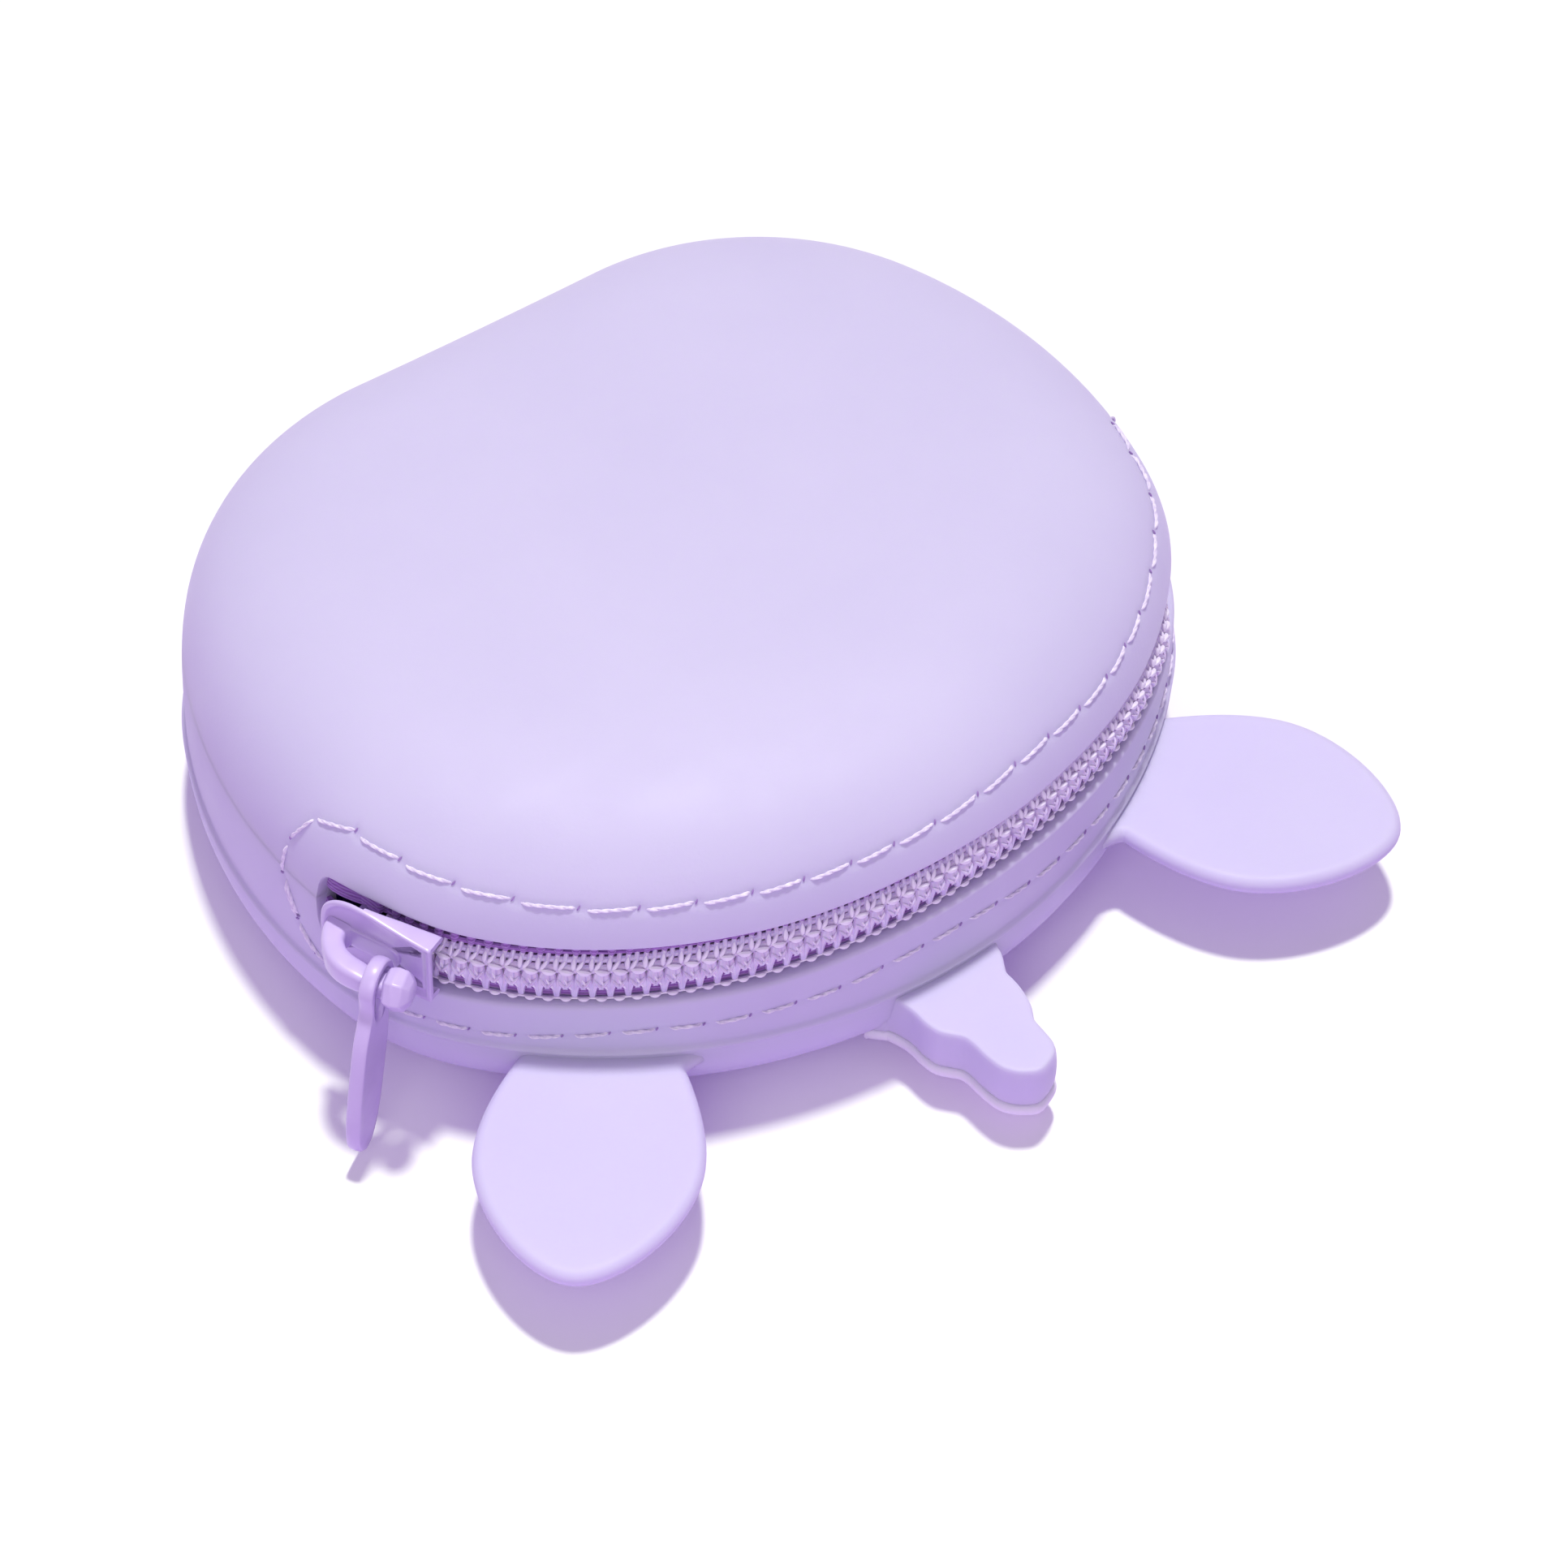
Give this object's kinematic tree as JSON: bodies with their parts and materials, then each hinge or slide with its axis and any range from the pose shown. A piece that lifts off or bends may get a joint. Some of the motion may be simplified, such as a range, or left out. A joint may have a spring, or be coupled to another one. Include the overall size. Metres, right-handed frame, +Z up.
{
  "type": "silicone coin purse",
  "caption": "Small rounded silicone coin purse with soft ears and a horn, closed by a coil zip with a slider and pull tab that runs round its front.",
  "frame": {"origin": "on the flat rest face of the front, under the middle of the body", "axes": "+Z up from the rest face to the domed back, -Y towards the horn, +Y towards the chin, +X to the right of the mouth seen from the horn's side"},
  "size_m": [0.0958, 0.0892, 0.0327],
  "materials": {
    "silicone": "matte, slightly translucent lilac silicone",
    "white_silicone": "matte white silicone",
    "tape": "woven purple zip tape",
    "coil": "satin purple nylon coil",
    "stop": "satin purple nylon",
    "slider": "satin lilac paint on cast zinc"
  },
  "bodies": {
    "purse": {"silicone_body": "silicone", "ear_left": "silicone", "ear_right": "silicone", "horn_block": "silicone", "horn_front": "white_silicone", "zip_tape_lower": "tape", "zip_coil_lower": "coil", "top_stop_lower": "stop", "bottom_stop": "stop"},
    "mouth": {"mouth_flap": "silicone", "zip_tape_upper": "tape", "zip_coil_upper": "coil", "top_stop_upper": "stop"},
    "slider": {"slider_body": "slider"},
    "tab": {"pull_tab": "slider"}
  },
  "joints": [
    {"name": "slider_travel", "type": "hinge", "parent": "purse", "child": "slider", "pos_m": [0, 0.0104, 0.0189], "axis": [0, 0, 1], "range_deg": [0, 114], "deforming": ["zip_coil_lower", "zip_tape_lower", "ear_left", "ear_right", "horn_block", "horn_front"]},
    {"name": "mouth_open", "type": "hinge", "parent": "purse", "child": "mouth", "pos_m": [0, -0.00924, 0.0327], "axis": [-1, 0, 0], "range_deg": [0, 25], "deforming": ["zip_coil_upper", "zip_tape_upper"]},
    {"name": "tab_swing", "type": "hinge", "parent": "slider", "child": "tab", "pos_m": [-0.04438, -0.01912, 0.0189], "axis": [-0.5538, 0.8327, 0], "range_deg": [0, 140]}
  ],
  "couplings": [
    {"joint": "mouth_open", "follows": "slider_travel", "ratio": 0.2193}
  ]
}
